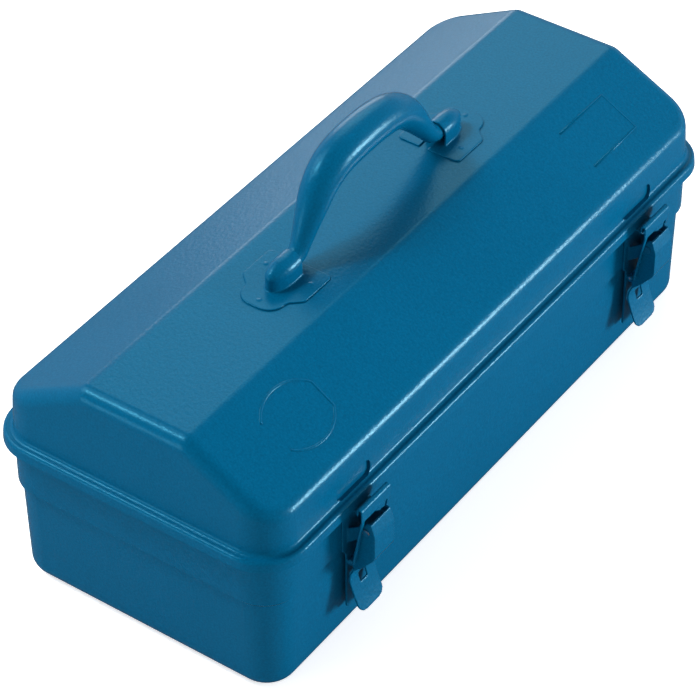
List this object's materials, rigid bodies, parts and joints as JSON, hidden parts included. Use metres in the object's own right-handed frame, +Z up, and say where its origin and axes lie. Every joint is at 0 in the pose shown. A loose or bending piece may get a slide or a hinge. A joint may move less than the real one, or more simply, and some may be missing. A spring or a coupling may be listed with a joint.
{
  "type": "metal tool box",
  "caption": "Drawn steel tool box with a roof-shaped hinged lid, a folding bail handle in domed brackets, rear hinges and front draw latches.",
  "frame": {"origin": "middle of the underside, on the surface that the box stands on", "axes": "+X along the length towards the right end, -Y out of the latch side, +Y out of the hinge side, +Z up"},
  "size_m": [0.412, 0.2008, 0.2043],
  "materials": {
    "enamel": "semi-gloss blue enamel with a fine orange peel",
    "pins": "plated steel, partly painted over"
  },
  "bodies": {
    "tray_body": {"tray": "enamel", "latch_base_left": "enamel", "latch_base_right": "enamel", "lever_pin_left": "pins", "lever_pin_right": "pins", "hinge_tray_leaf_left": "enamel", "hinge_tray_leaf_right": "enamel", "hinge_pin_left": "pins", "hinge_pin_right": "pins"},
    "lid_body": {"lid": "enamel", "handle_bracket_left": "enamel", "handle_bracket_right": "enamel", "lid_catch_left": "enamel", "lid_catch_right": "enamel", "hinge_lid_leaf_left": "enamel", "hinge_lid_leaf_right": "enamel"},
    "handle_body": {"handle": "enamel"},
    "lever_left_body": {"latch_lever_left": "enamel", "link_pin_left": "pins"},
    "lever_right_body": {"latch_lever_right": "enamel", "link_pin_right": "pins"},
    "link_left_body": {"latch_link_left": "enamel"},
    "link_right_body": {"latch_link_right": "enamel"}
  },
  "joints": [
    {"name": "lid_hinge", "type": "hinge", "parent": "tray_body", "child": "lid_body", "pos_m": [0, 0.0942, 0.0908], "axis": [-1, 0, 0], "range_deg": [0, 105]},
    {"name": "handle_pivot", "type": "hinge", "parent": "lid_body", "child": "handle_body", "pos_m": [0, 0, 0.1555], "axis": [1, 0, 0], "range_deg": [-80, 90]},
    {"name": "latch_lever_left_pivot", "type": "hinge", "parent": "tray_body", "child": "lever_left_body", "pos_m": [-0.133, -0.0988, 0.081], "axis": [-1, 0, 0], "range_deg": [0, 100]},
    {"name": "latch_lever_right_pivot", "type": "hinge", "parent": "tray_body", "child": "lever_right_body", "pos_m": [0.133, -0.0988, 0.081], "axis": [-1, 0, 0], "range_deg": [0, 100]},
    {"name": "latch_link_left_pivot", "type": "hinge", "parent": "lever_left_body", "child": "link_left_body", "pos_m": [-0.133, -0.0918, 0.06], "axis": [-1, 0, 0], "range_deg": [-125, 0]},
    {"name": "latch_link_right_pivot", "type": "hinge", "parent": "lever_right_body", "child": "link_right_body", "pos_m": [0.133, -0.0918, 0.06], "axis": [-1, 0, 0], "range_deg": [-125, 0]}
  ],
  "couplings": [
    {"joint": "latch_link_left_pivot", "follows": "latch_lever_left_pivot", "ratio": -1.2},
    {"joint": "latch_link_right_pivot", "follows": "latch_lever_right_pivot", "ratio": -1.2}
  ]
}
